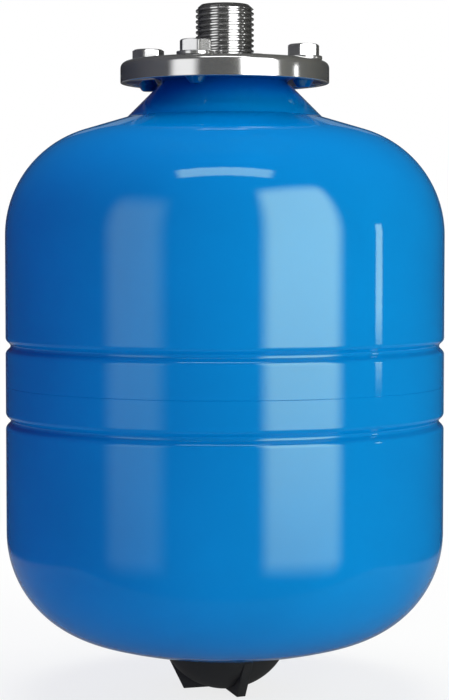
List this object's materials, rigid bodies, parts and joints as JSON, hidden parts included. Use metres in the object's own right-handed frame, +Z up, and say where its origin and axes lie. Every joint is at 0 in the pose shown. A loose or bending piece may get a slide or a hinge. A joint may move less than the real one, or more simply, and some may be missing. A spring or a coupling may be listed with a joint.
{
  "type": "well pressure tank",
  "caption": "Upright painted steel pressure tank with a bolted flange, a threaded water nipple on top and a capped air valve below.",
  "frame": {"origin": "centre of the flange's top face, where the threaded nipple rises from it", "axes": "+Z up along the tank's axis, out of the nipple's open end; the front of the picture's view looks along +Y"},
  "size_m": [0.2, 0.2, 0.3139],
  "materials": {
    "blue_paint": "gloss blue powder paint",
    "stainless_flange": "turned and brushed stainless steel",
    "stainless_thread": "machined stainless steel thread",
    "zinc_bolts": "bright zinc plated steel",
    "bare_steel": "plain steel",
    "membrane_rubber": "matt black food-grade rubber",
    "seal_rubber": "matt black rubber",
    "valve_brass": "machined brass",
    "black_plastic": "satin black moulded plastic"
  },
  "bodies": {
    "tank": {"upper_shell": "blue_paint", "lower_shell": "blue_paint", "neck_collar": "blue_paint", "seam_band": "bare_steel", "flange": "stainless_flange", "water_nipple": "stainless_thread", "membrane": "membrane_rubber", "flange_bolt_1": "zinc_bolts", "flange_bolt_2": "zinc_bolts", "flange_bolt_3": "zinc_bolts", "flange_bolt_4": "zinc_bolts", "bolt_washer_1": "zinc_bolts", "bolt_washer_2": "zinc_bolts", "bolt_washer_3": "zinc_bolts", "bolt_washer_4": "zinc_bolts", "valve_boss": "bare_steel", "stem_gasket": "seal_rubber", "valve_stem": "valve_brass", "valve_core": "valve_brass", "valve_spring": "bare_steel"},
    "cap_seal": {"cap_gasket": "seal_rubber"},
    "cap": {"protective_cap": "black_plastic"},
    "air_pin": {"valve_pin": "bare_steel", "valve_seal": "seal_rubber"}
  },
  "joints": [
    {"name": "cap_travel", "type": "slide", "parent": "tank", "child": "cap_seal", "axis": [0, 0, -1], "range_m": [0, 0.00455]},
    {"name": "cap_turn", "type": "hinge", "parent": "cap_seal", "child": "cap", "pos_m": [0, 0, -0.28], "axis": [0, 0, -1], "range_deg": [0, 1080]},
    {"name": "valve_press", "type": "slide", "parent": "tank", "child": "air_pin", "axis": [0, 0, 1], "range_m": [0, 0.0015], "stiffness_N_per_m": 400, "springref_m": -0.002, "deforming": ["valve_spring"]}
  ],
  "couplings": [
    {"joint": "cap_travel", "follows": "cap_turn", "m_per_rad": 0.00023873}
  ]
}
